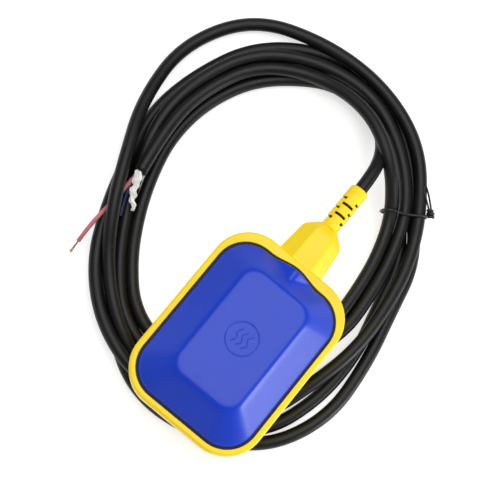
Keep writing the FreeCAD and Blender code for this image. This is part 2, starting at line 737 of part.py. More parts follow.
def make_fixed_contacts():
    """Two rivets, one on each fixed terminal."""
    start = V(open_face_x, contact_y, switch_mid_z)
    ahead = V(closed_face_x - rivet_height, contact_y, switch_mid_z)
    return group([rod(contact_radius, start, X, rivet_height), rod(contact_radius, ahead, X, rivet_height)])


# ---------------------------------------------------------------- cable inside the float
def make_inner_sheath():
    """Sheath from the capsule's clamp through nose and boot, drilled for its three cores."""
    sheath = rod(cable_radius, V(sheath_end_x, 0, cable_z), X, boot_x - sheath_end_x)
    for dy, dz in core_offsets():
        sheath = sheath.cut(rod(core_radius + 0.02, V(sheath_end_x, dy, cable_z + dz), X, sheath_past_clamp))
    return sheath


def core_offsets():
    """Places of the three cores about the cable's axis, 120 degrees apart."""
    return [(core_pitch_radius * math.cos(math.radians(a)), core_pitch_radius * math.sin(math.radians(a)))
            for a in (30, 150, 270)]


def make_inner_core(index, tab_y, bend_x):
    """One core from the sheath to its terminal tab, crossing over at bend_x."""
    dy, dz = core_offsets()[index]
    points = [V(sheath_end_x + sheath_past_clamp, dy, cable_z + dz), V(bend_x, dy, cable_z + dz),
              V(bend_x, tab_y, switch_mid_z), V(tab_end_x, tab_y, switch_mid_z)]
    return tube(points, core_radius, [core_bend, core_bend])


# ---------------------------------------------------------------- cable outside the float
coil_ahead = 57.8            # coil's middle, ahead of the float's
coil_x, coil_y = middle_x + coil_ahead, 27.0
station_step = 30            # degrees between the radii below, from +X towards +Y
coil_outer = [119.5, 129.5, 123.0, 99.0, 92.0, 98.5, 110.0, 115.5, 109.5, 92.5, 92.0, 103.0]
coil_inner = [93.0, 90.0, 79.0, 68.0, 65.5, 72.0, 80.0, 72.0, 64.0, 58.5, 64.0, 79.5]
coil_round = 3.0
lead_route = [V(boot_x, 0, cable_z), V(boot_x + 12, 0, cable_z), V(boot_x + 25.5, 3.5, -11.5),
              V(boot_x + 36, 10, -17.5), V(boot_x + 43, 20, -22.5), V(boot_x + 46.5, 31.5, -27),
              V(boot_x + 46.5, 44, -30.5)]
tie_angle = 320.0            # where the tie goes round the coil
tie_near, tie_far = 70.5, 102.0
tie_wire = 1.5
tie_twist = 14.0
rest_z = floor_z + coil_layers * cable_diameter + rest_gap + core_radius
red_core_route = [V(13, 101.5, rest_z), V(4, 101.5, rest_z), V(-6, 102.5, rest_z + 1.5),
                  V(-17, 102, rest_z + 1.2), V(-28, 101.5, rest_z + 0.5), V(-38, 102, rest_z - 4)]
blue_core_route = [V(13, 98.5, rest_z), V(5, 98, rest_z), V(-3, 95, rest_z), V(-11, 90, rest_z)]
brown_core_route = [V(11, 95.2, rest_z), V(4, 94, rest_z), V(-1, 91.5, rest_z), V(-6, 87.5, rest_z)]
filler_radius = 1.5
filler_route = [V(12, 105.5, rest_z + 0.4), V(5, 105.3, rest_z + 0.4), V(-1, 106.8, rest_z + 0.4),
                V(-7, 107, rest_z + 0.4)]
copper_length = 8.0


def coil_point(radius, station, z):
    """Point at a radius from the coil's middle, station steps round from +X."""
    angle = math.radians(station * station_step)
    return V(coil_x + radius * math.cos(angle), coil_y + radius * math.sin(angle), z)


def closed_curve(radii, z):
    """Smooth closed curve through the radii."""
    curve = Part.BSplineCurve()
    curve.interpolate([coil_point(r, i, z) for i, r in enumerate(radii)], PeriodicFlag=True)
    return Part.Wire(curve.toShape())


def make_coil():
    """Outer shape of the coiled turns: an open ring, two cable layers high, grooved for the tie."""
    height = coil_layers * cable_diameter
    outer = Part.Face(closed_curve(coil_outer, floor_z)).extrude(V(0, 0, height))
    inner = Part.Face(closed_curve(coil_inner, floor_z)).extrude(V(0, 0, height))
    ring = outer.cut(inner)
    ring = ring.makeFillet(coil_round, level_edges(ring, floor_z + height))
    groove = tie_wire + 2 * fit_gap
    bar = Part.makeBox(tie_far, groove, groove, V(0, -groove / 2, 0))
    bar.rotate(V(0, 0, 0), Z, tie_angle)
    bar.translate(V(coil_x, coil_y, floor_z))
    return ring.cut(bar)


def make_lead():
    """Sheath from the boot down into the coil."""
    radii = soft_bends(lead_route)
    print("lead bend radii", [round(r, 1) for r in radii])
    return tube(lead_route, cable_radius, radii)


def make_tie():
    """Square loop of wire round the coil, ending in a twist beside it."""
    half = tie_wire / 2
    top = coil_layers * cable_diameter + rest_gap
    loop = box(tie_near - tie_wire, tie_far + tie_wire, -half, half, 0, top + tie_wire)
    loop = loop.cut(box(tie_near, tie_far, -half, half, tie_wire, top))
    twist = rod(0.9 * tie_wire, V(tie_far, -half, top), V(0, -1, 0), tie_twist)
    tie = loop.fuse(twist)
    tie.rotate(V(0, 0, 0), Z, tie_angle)
    tie.translate(V(coil_x, coil_y, floor_z))
    return tie


def make_free_core(route):
    """One core of the free end, laid along its route."""
    return tube(route, core_radius, soft_bends(route))


def make_copper_end():
    """Bare strands past the red core's insulation."""
    a, b = red_core_route[-2], red_core_route[-1]
    return rod(copper_diameter / 2, b, (b - a).normalize(), copper_length)


# ---------------------------------------------------------------- the nodes
def screws_at(places, seat_z, radius, length):
    """Like screws in one node."""
    return group([screw(x, y, seat_z, radius, length) for x, y in places])


def build_nodes():
    """Every sub-part, by the name of its node."""
    lid_seat = capsule_top_z + capsule_seal + lid_thickness
    clamp_places = [(clamp_x - clamp_length / 2, side * clamp_screw_y) for side in (-1, 1)]
    near_x, far_x = sheath_end_x - core_bend - fit_gap, tab_end_x + core_bend + fit_gap
    coil = make_coil()
    return {
        "upper_shell": make_upper_shell(),
        "lower_shell": make_lower_shell(),
        "seam_gasket": make_seam_gasket(),
        "strain_relief_boot": make_boot(),
        "capsule_base": make_capsule_base(),
        "capsule_gasket": make_capsule_gasket(),
        "capsule_lid": make_capsule_lid(),
        "lid_screws": screws_at(lid_screw_places(), lid_seat, lid_screw_radius, lid_screw_length),
        "fixing_screws": screws_at(fixing_places(), ear_z + ear_thickness, fixing_screw_radius,
                                   fixing_screw_length),
        "entry_grommet": make_entry_grommet(),
        "cord_clamp": make_cord_clamp(),
        "clamp_screws": screws_at(clamp_places, cable_z + fit_gap + clamp_height,
                                  fixing_screw_radius - fit_gap, clamp_height + clamp_screw_bite),
        "ball_track": make_ball_track(),
        "steel_ball": make_ball(),
        "switch_case": make_switch_case(),
        "switch_cover": make_switch_cover(),
        "switch_screws": screws_at(switch_screw_places(), switch_high_z, fixing_screw_radius - fit_gap,
                                   switch_high_z - capsule_floor_z - switch_screw_gap),
        "lever": make_lever(),
        "lever_pin": make_lever_pin(),
        "plunger": make_plunger(),
        "contact_blade": make_blade(),
        "moving_contact": make_moving_contact(),
        "common_terminal": make_common_terminal(),
        "open_terminal": make_open_terminal(),
        "closed_terminal": make_closed_terminal(),
        "fixed_contacts": make_fixed_contacts(),
        "inner_sheath": make_inner_sheath(),
        "inner_core_common": make_inner_core(0, common_strip_y, near_x),
        "inner_core_open": make_inner_core(2, open_strip_y, far_x),
        "inner_core_closed": make_inner_core(1, closed_strip_y, near_x),
        "cable_lead": make_lead().cut(coil),
        "cable_coil": coil,
        "wire_tie": make_tie(),
        "free_core_red": make_free_core(red_core_route),
        "free_core_blue": make_free_core(blue_core_route),
        "free_core_brown": make_free_core(brown_core_route),
        "bare_copper_end": make_copper_end(),
        "filler_string": tube(filler_route, filler_radius, soft_bends(filler_route)),
    }


os.makedirs("parts", exist_ok=True)
for name, shape in build_nodes().items():
    if not shape.isValid():
        print("invalid:", name)
    shape.exportStep("parts/" + name + ".step")
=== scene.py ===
"""Dresses the float level switch: camera and cable first, then the two shells with their seal, the
slotted boot, the stripped free end, the wire tie, every finish, and a pale studio floor with soft
lights.  Lengths are metres unless a name or a heading says millimetres; MM turns those into metres."""
import json
import math

import bpy
import numpy as np
from mathutils import Matrix, Vector


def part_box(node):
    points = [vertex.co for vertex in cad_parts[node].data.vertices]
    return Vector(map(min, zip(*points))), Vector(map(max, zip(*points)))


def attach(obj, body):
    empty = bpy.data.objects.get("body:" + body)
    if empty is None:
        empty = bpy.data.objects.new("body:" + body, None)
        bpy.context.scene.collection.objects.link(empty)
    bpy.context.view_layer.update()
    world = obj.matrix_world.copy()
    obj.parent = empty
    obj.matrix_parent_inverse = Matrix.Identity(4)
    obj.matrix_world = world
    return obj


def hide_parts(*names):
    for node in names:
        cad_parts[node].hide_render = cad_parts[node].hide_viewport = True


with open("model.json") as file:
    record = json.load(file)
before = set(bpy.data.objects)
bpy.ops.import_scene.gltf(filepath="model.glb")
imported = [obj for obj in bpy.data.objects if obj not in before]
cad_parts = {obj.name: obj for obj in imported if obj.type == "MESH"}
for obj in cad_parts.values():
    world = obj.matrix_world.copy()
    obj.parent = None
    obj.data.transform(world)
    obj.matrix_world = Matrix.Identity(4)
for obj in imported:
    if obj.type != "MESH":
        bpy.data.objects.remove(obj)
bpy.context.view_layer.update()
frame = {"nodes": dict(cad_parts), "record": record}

MM = 0.001
TAU = 2 * math.pi
NODES = frame["nodes"]
FLOAT = "float"

# ---------------------------------------------------------------- places read from the frame
BODY_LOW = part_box("lower_shell")[0]
BOOT_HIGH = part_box("strain_relief_boot")[1]
FLOOR_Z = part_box("cable_coil")[0].z
EXIT = Vector((BOOT_HIGH.x, 0.0, (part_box("inner_sheath")[0].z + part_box("inner_sheath")[1].z) / 2))

# ---------------------------------------------------------------- the cable's sizes
CABLE_DIAMETER = 7.5 * MM
CORE_DIAMETER = 2.4 * MM
LAYER_PITCH = 7.2 * MM                 # height from one layer of turns to the next
COIL_MIDDLE = Vector((30.3 * MM, 27.0 * MM, 0.0))
STATION = math.radians(20)             # angle from one control point of the coil to the next

# The lead's points past the boot, in millimetres, down to the coil.
LEAD_MM = [(80, 0.6, -7.5), (93.5, 0.6, -8), (107.5, 3.7, -14), (118, 10, -20.5), (125, 20, -25.5),
           (128.5, 31.5, -29), (128.5, 44, -31.5)]

# Each turn's lane: radius in millimetres and layer, one pair of rows a turn, a station apart.
# The first turn begins at one station and the others at zero; the last stops at the cut end.
LANES = [
    ([98, 91.5, 82.5, 75, 69, 68, 72, 80, 82, 86, 85.5, 69, 70, 69, 74, 85, 95],
     [0, 0, 0, 0, 0, 0, 0, 0, 0, 0, 0, .7, .9, 1, 1, 1, 1]),
    ([105.5, 107, 105.5, 95.5, 86.5, 77, 75, 79, 87.5, 90, 97, 98.5, 85.5, 81.5, 80, 85, 93, 106],
     [1, 1, 1, 1, 1.1, .6, .2, .2, 0, 0, 0, 0, .8, 1, 1, 1, 1, 1]),
    ([113, 119, 128, 119, 100, 85.5, 82.5, 85.5, 92, 99, 106.5, 108, 94.5, 83.5, 77, 81, 82, 93.5],
     [1, .8, 0, 0, 1.2, 2.3, 2.4, 1.1, 1.1, 0, 0, 0, 0, 0, 0, 0, .15, 0]),
    ([107.5, 107.5, 103, 90.5, 82, 84, 82.5, 85.5, 94.5, 109.5, 113.5, 116, 106.5, 91.5, 84.5, 89, 90, 102],
     [0, 0, 0, 0, 0, 0, 0, 0, 0, 0, 0, 0, 0, 0, 0, 0, .15, 0]),
    ([116, 116, 111, 99.5, 92.5, 84.5, 86, 93.5, 100, 103.5, 94, 78.5, 61, 62.5, 61.5, 66.5, 76, 82],
     [0, 0, 0, 0, .1, 1.1, 1, 1, 1, 1, 1, 1.1, 1, 1, 1, 1, 1.1, 3.5]),
    ([93, 99, 98, 88, 80], [2.7, .9, 1, 1, 1.5]),
]
CUT_ANGLE, CUT_RADIUS_MM, CUT_LAYER = math.radians(102.4), 74.6, 1.6


def coil_point(angle, radius_mm, layer):
    """Point of a lane: its radius about the coil's middle at an angle, one pitch up a layer."""
    radius = radius_mm * MM
    return Vector((COIL_MIDDLE.x + radius * math.cos(angle), COIL_MIDDLE.y + radius * math.sin(angle),
                   FLOOR_Z + CABLE_DIAMETER / 2 + layer * LAYER_PITCH))


CUT = coil_point(CUT_ANGLE, CUT_RADIUS_MM, CUT_LAYER)


# ---------------------------------------------------------------- camera
def make_camera():
    """Long lens high over the coil, leaning to the float's rear and rolled so that it lies aslant."""
    aim = Vector((16.0 * MM, 33.6 * MM, 0.0))
    azimuth, lean, roll = math.radians(185.74), math.radians(12.10), math.radians(39.69)
    distance = 0.750
    back = Vector((math.sin(lean) * math.cos(azimuth), math.sin(lean) * math.sin(azimuth), math.cos(lean)))
    level = (-back).cross(Vector((1, 0, 0))).normalized()
    rise = level.cross(-back)
    right = math.cos(roll) * level + math.sin(roll) * rise
    up = math.cos(roll) * rise - math.sin(roll) * level
    data = bpy.data.cameras.new("camera")
    data.sensor_width = 36.0
    data.lens = 105.74
    camera = bpy.data.objects.new("camera", data)
    turn = Matrix((right, up, back)).transposed().to_4x4()
    camera.matrix_world = Matrix.Translation(aim + distance * back) @ turn
    bpy.context.scene.collection.objects.link(camera)
    bpy.context.scene.camera = camera


# ---------------------------------------------------------------- meshes and curves
def add_mesh(name, points, faces):
    """Object from points in metres and lists of corners, shaded smooth."""
    mesh = bpy.data.meshes.new(name)
    mesh.from_pydata(points.tolist(), [], faces)
    mesh.polygons.foreach_set("use_smooth", np.ones(len(mesh.polygons), bool))
    mesh.update()
    piece = bpy.data.objects.new(name, mesh)
    bpy.context.scene.collection.objects.link(piece)
    return piece


def add_route(name, points, radius=0.0):
    """Open NURBS curve of order three with the points as its controls, round if it has a radius."""
    curve = bpy.data.curves.new(name, "CURVE")
    curve.dimensions = "3D"
    curve.resolution_u = 10
    spline = curve.splines.new("NURBS")
    spline.points.add(len(points) - 1)
    for control, point in zip(spline.points, points):
        control.co = (*point, 1.0)
    spline.order_u = 3
    spline.use_endpoint_u = True
    curve.bevel_depth = radius
    curve.bevel_resolution = 5
    curve.use_fill_caps = radius > 0
    piece = bpy.data.objects.new(name, curve)
    bpy.context.scene.collection.objects.link(piece)
    return piece


def route_line(route):
    """Points of a route's own smooth line, read from its spline."""
    bpy.context.view_layer.update()
    mesh = bpy.data.meshes.new_from_object(route)
    line = np.zeros(len(mesh.vertices) * 3)
    mesh.vertices.foreach_get("co", line)
    bpy.data.meshes.remove(mesh)
    return line.reshape(-1, 3)


def evenly(line, step):
    """The same line with its points about a step apart, each coordinate read off at equal arc lengths,
    and those arc lengths."""
    along = np.concatenate([[0], np.cumsum(np.linalg.norm(np.diff(line, axis=0), axis=1))])
    marks = np.linspace(0, along[-1], max(4, int(along[-1] / step) + 1))
    return np.stack([np.interp(marks, along, line[:, k]) for k in range(3)], axis=1), marks


def tube_arrays(line, radius, sides, marks=None):
    """Tube round a line: ring i is the line's point plus radius times (cos v, sin v) in the plane
    across its direction; both ends close on a point.  Gives points, quads, caps and the quads' (u, v)."""
    line = np.asarray(line, float)
    ahead = np.gradient(line, axis=0)
    ahead /= np.linalg.norm(ahead, axis=1)[:, None]
    steep = np.abs(ahead[:, 2]).max() > 0.9
    reference = np.array([0.31, 0.95, 0.05]) if steep else np.array([0.0, 0.0, 1.0])
    side = np.cross(ahead, reference)
    side /= np.linalg.norm(side, axis=1)[:, None]
    up = np.cross(side, ahead)
    turn = np.linspace(0, TAU, sides, endpoint=False)
    rings = line[:, None] + radius * (
        np.cos(turn)[None, :, None] * side[:, None] + np.sin(turn)[None, :, None] * up[:, None])
    count = len(line)
    points = np.concatenate([rings.reshape(-1, 3), line[:1], line[-1:]])
    i, j = np.meshgrid(np.arange(count - 1), np.arange(sides), indexing="ij")
    k = (j + 1) % sides
    wall = np.stack([i * sides + j, (i + 1) * sides + j, (i + 1) * sides + k, i * sides + k], -1)
    marks = np.arange(count) if marks is None else marks
    across = np.arange(sides + 1) / sides
    wall_uv = np.stack([np.stack([marks[i + a], across[j + b]], -1)
                        for a, b in ((0, 0), (1, 0), (1, 1), (0, 1))], -2)
    first, last = count * sides, count * sides + 1
    ring = np.arange(sides)
    after = (ring + 1) % sides
    start_cap = np.stack([np.full(sides, first), ring, after], -1)
    end_cap = np.stack([np.full(sides, last), (count - 1) * sides + after, (count - 1) * sides + ring], -1)
    return points, wall.reshape(-1, 4), np.concatenate([start_cap, end_cap]), wall_uv.reshape(-1, 2)


def add_tubes(name, tubes):
    """One object of several tubes; each is (line, radius, sides) with an optional list of marks."""
    points, faces, uvs, base = [], [], [], 0
    for tube in tubes:
        p, wall, caps, wall_uv = tube_arrays(*tube)
        points.append(p)
        faces += (wall + base).tolist() + (caps + base).tolist()
        uvs.append(np.concatenate([wall_uv, np.zeros((caps.size, 2))]))
        base += len(p)
    piece = add_mesh(name, np.concatenate(points), faces)
    layer = piece.data.uv_layers.new(name="UVMap")
    layer.data.foreach_set("uv", np.concatenate(uvs).astype(np.float32).ravel())
    return piece


def add_rings(name, skins):
    """One object of several skins.  Each skin is a list of rings in millimetres with as many points
    each, joined by quads, and says whether its last ring is closed by a flat face.  The faces point
    outwards where the rings turn left about the way they follow each other."""
    points, faces, base = [], [], 0
    for rings, close_last in skins:
        count, size = len(rings), len(rings[0])
        i, j = np.meshgrid(np.arange(count - 1), np.arange(size), indexing="ij")
        k = (j + 1) % size
        quads = np.stack([i * size + j, i * size + k, (i + 1) * size + k, (i + 1) * size + j], -1)
        faces += (quads.reshape(-1, 4) + base).tolist()
        if close_last:
            faces.append((base + (count - 1) * size + np.arange(size)).tolist())
        points += [np.asarray(ring) * MM for ring in rings]
        base += count * size
    piece = add_mesh(name, np.concatenate(points), faces)
    piece.modifiers.new("even_normals", "WEIGHTED_NORMAL")
    return piece


def mm_points(rows):
    """Points given in millimetres, as metres."""
    return [Vector(row) * MM for row in rows]


# ---------------------------------------------------------------- the cable
def cable_controls():
    """Control points of the whole cable: the lead, then every lane station by station, then the cut."""
    controls = mm_points(LEAD_MM)
    station = 1
    for radii, layers in LANES:
        for radius, layer in zip(radii, layers):
            controls.append(coil_point(station * STATION, radius, layer))
            station += 1
    return controls + [CUT]


def make_cable():
    """The cable's sheath as one tube along its route, square at the cut."""
    route = add_route("cable_route", cable_controls())
    line, marks = evenly(route_line(route), 2.5 * MM)
    bpy.data.objects.remove(route)
    cable = add_tubes("cable_sheath", [(line, CABLE_DIAMETER / 2, 22, marks)])
    return cable, line


# ---------------------------------------------------------------- shells, in millimetres
BODY = (109.0, 81.5, 22.0, 0.0)        # length, width, corner radius, shift along X: the yellow shell
CAP = (97.4, 72.5, 17.5, -1.3)         # the same of the blue shell
PAD = (68.0, 41.0, 9.0, 0.0)           # the same of its raised pad
MIDDLE_X = BODY_LOW.x / MM + BODY[0] / 2
GROOVE = 1.05                          # width of the seam between blue and yellow
FOOT_Z = BODY_LOW.z / MM
RIM_Z, LEDGE_Z = 3.2, -1.0             # yellow rim's top, and the groove's floor
RIM_ROUND, FOOT_ROUND, DRAFT = 1.7, 4.0, 0.8    # yellow wall's roundings and lean
SHOULDER_Z, PAD_Z = 3.6, 20.4          # where the blue slopes begin and end
SLOPE_RUN = 16.0                       # level distance from one to the other
LOBE_REACH, LOBE_HALF = 2.5, 16.5      # bulge of the blue shell's outline over the nose
HOOD_TOP, HOOD_FALL, HOOD_EASE = 13.5, 0.88, 1.8    # crest of the hood over the nose, and its flanks


def outline(form, inset, height, lobe=0.0):
    """Ring of a rounded rectangle drawn in by inset: arcs about fixed corner centres, straight sides
    shared out evenly, and a squared-cosine bulge of the front side by the lobe's reach."""
    length, width, corner, shift = form
    centre_x, centre_y = length / 2 - corner, width / 2 - corner
    ring = []
    for quarter, (side_x, side_y) in enumerate(((1, 1), (-1, 1), (-1, -1), (1, -1))):
        turn = np.radians(np.linspace(90 * quarter, 90 * quarter + 90, 15))
        arc = np.stack([side_x * centre_x + (corner - inset) * np.cos(turn),
                        side_y * centre_y + (corner - inset) * np.sin(turn)], -1)
        ring.append(arc)
    plan = []
    for k in range(4):
        after = ring[(k + 1) % 4][0]
        share = np.linspace(0, 1, 38)[1:-1, None]
        plan += [ring[k], ring[k][-1] + share * (after - ring[k][-1])]
    plan = np.concatenate(plan)
    front = (plan[:, 0] > 0) & (np.abs(plan[:, 1]) < LOBE_HALF)
    plan[:, 0] += np.where(front, lobe * np.cos(math.pi / 2 * plan[:, 1] / LOBE_HALF) ** 2, 0)
    return np.column_stack([plan[:, 0] + MIDDLE_X + shift, plan[:, 1], np.full(len(plan), height)])


def cap_height(ring, inward):
    """Height of the blue shell: a slope that eases into the flat pad by a soft minimum, a soft maximum
    with the hood in front, whose flanks fall like a hyperbola from its crest, a quarter round where
    it turns down at the outline, and a soft minimum with the hood's steep front face."""
    steep, ease, blend = (PAD_Z - SHOULDER_Z) / SLOPE_RUN, 0.85, 0.35
    height = -ease * np.log(np.exp(-(SHOULDER_Z + steep * inward) / ease) + math.exp(-PAD_Z / ease))
    hood = HOOD_TOP - HOOD_FALL * (np.sqrt(ring[:, 1] ** 2 + HOOD_EASE ** 2) - HOOD_EASE)
    hood = np.where(ring[:, 0] > MIDDLE_X, hood, -40.0)
    height = blend * np.logaddexp(height / blend, hood / blend)
    edge = 1.3
    height += math.sqrt(edge ** 2 - max(edge - inward, 0) ** 2) - edge
    face, crease = 2.2 + 5.0 * inward, 0.5
    return -crease * np.logaddexp(-height / crease, -face / crease)


def make_cap():
    """Blue shell's skin: skirt, soft slopes with the hood, and the pad, lofted from outline to pad."""
    base, pad = outline(CAP, 0, 0, LOBE_REACH), outline(PAD, 0, 0)
    rings = [outline(CAP, 0, LEDGE_Z + 0.3, LOBE_REACH)]
    for inward in np.concatenate([[0, 0.06, 0.2, 0.45, 0.8, 1.15, 1.5, 1.85, 2.2], np.linspace(2.7, 14.2, 22),
                                  np.linspace(14.8, 17.6, 8)]):
        share = inward / SLOPE_RUN
        ring = base + share * (pad - base)
        ring[:, 2] = cap_height(ring, inward)
        rings.append(ring)
    for inset in (3.0, 5.5, 8.5):
        rings.append(outline(PAD, inset, PAD_Z))
    return add_rings("blue_cap", [(rings, True)])


def make_seal_and_shadow():
    """Black seal in the groove between the shells that also paints the seam's shadow: a flat-topped ring,
    softened edge each side.
    """
    low, top = LEDGE_Z + 0.1, RIM_Z - 1.1
    rings = [outline(CAP, inset, height, LOBE_REACH)
             for inset, height in ((0.3, low), (0.3, top - 0.2), (0.1, top), (0.15 - GROOVE, top),
                                   (-0.05 - GROOVE, top - 0.2), (-0.05 - GROOVE, low))]
    return add_rings("seam_seal_and_shadow", [(rings[::-1], False)])


NOSE_MM = [(24.9, 14.5, 2.85, 8.3), (32.0, 14.0, 2.7, 7.9), (45.6, 12.6, 2.3, 7.0), (46.8, 12.3, 2.2, 6.8),
           (47.8, 11.8, 2.05, 6.5), (48.9, 10.8, 1.8, 6.0), (51.3, 7.9, 0.9, 4.3), (52.3, 6.9, 0.2, 3.6),
           (53.0, 6.1, -0.7, 3.0)]         # distance along X, half width, top, bevel
AXIS_Y = 0.6                           # nose and boot lie this far aside
NOSE_ROUND = 1.1


def nose_ring(x, half, top, bevel):
    """Eight-sided section of the nose across X with each corner rounded by a quadratic bend."""
    axis = EXIT.z / MM
    low, foot = 2 * axis - top, min(3.5, bevel)
    corners = np.array([(half - bevel, top), (half, top - bevel), (half, low + foot), (half - foot, low),
                        (foot - half, low), (-half, low + foot), (-half, top - bevel), (bevel - half, top)])
    ring = []
    for k, corner in enumerate(corners):
        before, after = corners[k - 1] - corner, corners[(k + 1) % 8] - corner
        start = corner + before * min(NOSE_ROUND / np.linalg.norm(before), 0.45)
        stop = corner + after * min(NOSE_ROUND / np.linalg.norm(after), 0.45)
        for t in np.linspace(0, 1, 5):
            ring.append((1 - t) ** 2 * start + 2 * t * (1 - t) * corner + t ** 2 * stop)
    ring = np.array(ring)[::-1]
    return np.column_stack([np.full(len(ring), x), ring[:, 0] + AXIS_Y, ring[:, 1]])


def make_tub():
    """Yellow shell's skin: groove and rounded rim, nearly upright wall, rounded foot and flat
    underside, with the nose as a loft of its sections that runs into the wall."""
    rings = [outline(CAP, inset - GROOVE, height, LOBE_REACH)
             for inset, height in ((2.6, LEDGE_Z), (0, LEDGE_Z), (0, RIM_Z - 0.3), (-0.08, RIM_Z - 0.08),
                                   (-0.3, RIM_Z))]
    turn = np.radians(np.linspace(0, 90, 8))
    for angle in turn:
        rings.append(outline(BODY, RIM_ROUND * (1 - math.sin(angle)),
                             RIM_Z - RIM_ROUND * (1 - math.cos(angle))))
    wall = RIM_Z - RIM_ROUND - FOOT_Z - FOOT_ROUND
    for share in (0.25, 0.5, 0.75):
        rings.append(outline(BODY, DRAFT * share, RIM_Z - RIM_ROUND - share * wall))
    for angle in turn:
        rings.append(outline(BODY, DRAFT + FOOT_ROUND * (1 - math.cos(angle)),
                             FOOT_Z + FOOT_ROUND * (1 - math.sin(angle))))
    rings += [outline(BODY, DRAFT + 7.0, FOOT_Z), outline(BODY, DRAFT + 14.0, FOOT_Z)]
    # seen from below, where the last ring is, these rings have to turn left
    rings = [ring[::-1] for ring in rings]
    nose = [nose_ring(*row) for row in NOSE_MM]
    return add_rings("yellow_tub", [(rings, True), (nose, True)])


BOOT_START = 51.0                      # inside the nose's end
BOOT_PROFILE_MM = [(0, 5.9), (2.2, 5.7), (4.0, 5.0), (6.6, 5.0), (9.4, 5.4), (28.8, 5.45), (29.9, 5.25),
                   (30.5, 4.8), (30.7, 4.3)]     # distance from the start, radius
SLOTS_MM = [(7.8 + 3.4 * k, 90 * (k % 2)) for k in range(5)]      # distance from the start, way it faces
SLOT_HALF, SIDE_SPREAD, TOP_SPREAD = 0.85, 58, 48      # half width, and degrees to each side


def make_boot():
    """Slotted sleeve: a turned profile as a fine grid whose faces are left out at the slots, two to
    a ring and turned a right angle from one ring to the next, then given its wall's thickness."""
    reach, radii = np.array(BOOT_PROFILE_MM).T
    along = np.unique(np.round(np.concatenate([np.arange(0, 28.8, 0.2), reach]), 3))
    radius = np.interp(along, reach, radii)
    sides = 90
    turn = np.linspace(0, TAU, sides, endpoint=False)
    x, axis = BOOT_START + along[:, None], EXIT.z / MM
    points = np.stack([x + 0 * turn, AXIS_Y + radius[:, None] * np.cos(turn),
                       axis + radius[:, None] * np.sin(turn)], -1)
    middle = (along[:-1] + along[1:]) / 2
    degrees = (np.degrees(turn) + 180 / sides) % 180
    keep = np.ones((len(middle), sides), bool)
    for place, facing in SLOTS_MM:
        spread = TOP_SPREAD if facing else SIDE_SPREAD
        away = np.abs((degrees - facing + 90) % 180 - 90)
        keep &= ~((np.abs(middle - place) < SLOT_HALF)[:, None] & (away < spread)[None])
    i, j = np.nonzero(keep)
    k = (j + 1) % sides
    faces = np.stack([i * sides + j, (i + 1) * sides + j, (i + 1) * sides + k, i * sides + k], -1)
    boot = add_mesh("slotted_boot", points.reshape(-1, 3) * MM, faces.tolist())
    wall = boot.modifiers.new("wall", "SOLIDIFY")
    wall.thickness = 1.1 * MM
    wall.offset = 1.0
    wall.use_even_offset = True
    return boot


MARK_RADIUS, WAVE_HALF, WAVE_GAP, WAVE_HEIGHT, WAVE_LENGTH = 8.9, 4.6, 3.4, 0.8, 6.2


def make_mark():
    """Plain ring with three wavy level lines: thin round beads, sunk until a little stands proud."""
    turn = np.linspace(0, TAU, 121)
    along = np.linspace(-WAVE_HALF, WAVE_HALF, 40)
    lines = [(MARK_RADIUS * np.cos(turn), MARK_RADIUS * np.sin(turn), 0.42)]
    lines += [(along, offset + WAVE_HEIGHT * np.sin(along * TAU / WAVE_LENGTH), 0.40)
              for offset in (-WAVE_GAP, 0.0, WAVE_GAP)]
    tubes = [(np.column_stack([MIDDLE_X + x, y, np.full(len(x), PAD_Z - 0.12)]) * MM, bead * MM, 10)
             for x, y, bead in lines]
    return add_tubes("level_mark", tubes)


# ---------------------------------------------------------------- the stripped free end
RED_MM = [(14.2, 100.3, -20.8), (8, 100.8, -21.4), (1.5, 100.6, -22.4), (-6, 100.7, -21.8),
          (-14.7, 101.1, -20.2), (-22, 101.5, -20.4), (-29, 101.6, -22.0), (-36, 101.4, -25.2)]
BLUE_MM = [(14.2, 99.6, -22.2), (8, 99.6, -22.6), (2.5, 98.8, -23.2), (-3.5, 96.6, -24.8),
           (-10.5, 93.2, -25.9)]
BROWN_MM = [(14.2, 99.0, -22.9), (8, 97.6, -24.4), (2, 94.8, -25.6), (-3, 91.5, -26.2)]
FILLER_MM = [(14.1, 100.9, -19.2), (11.9, 99.3, -18.4), (9.5, 98.0, -18.8), (7.1, 97.0, -20.2),
             (4.0, 96.1, -20.8), (1.4, 94.6, -21.6), (-0.6, 92.5, -22.4), (-2.5, 90.6, -23.0),
             (-4.3, 89.1, -23.4)]
FIBRES, FILLER_HALF_WIDTH = 90, 2.35 * MM


def make_core(name, points_mm):
    """One insulated core of the free end."""
    return add_route(name, mm_points(points_mm), CORE_DIAMETER / 2)


def make_copper(end, direction):
    """Seven bare strands: one straight and six wound round it, opening a little towards the tip."""
    length, inside, strand = 8.0 * MM, 2.0 * MM, 0.17 * MM
    across = direction.cross(Vector((0, 0, 1))).normalized()
    over = across.cross(direction)
    along = np.linspace(-inside, length, 26)
    axis = np.array(end)[None] + along[:, None] * np.array(direction)[None]
    tubes = [(axis, strand, 7)]
    for k in range(6):
        angle = TAU * k / 6 + along / (3.2 * MM)
        spread = 0.36 * MM + 0.30 * MM * np.clip(along / length, 0, 1) ** 3 * (1 + 0.5 * (k % 3))
        ring = np.cos(angle)[:, None] * np.array(across) + np.sin(angle)[:, None] * np.array(over)
        reach = len(along) - (0, 2, 1, 3, 0, 2)[k]
        tubes.append(((axis + spread[:, None] * ring)[:reach], strand, 7))
    return add_tubes("copper_strands", tubes)


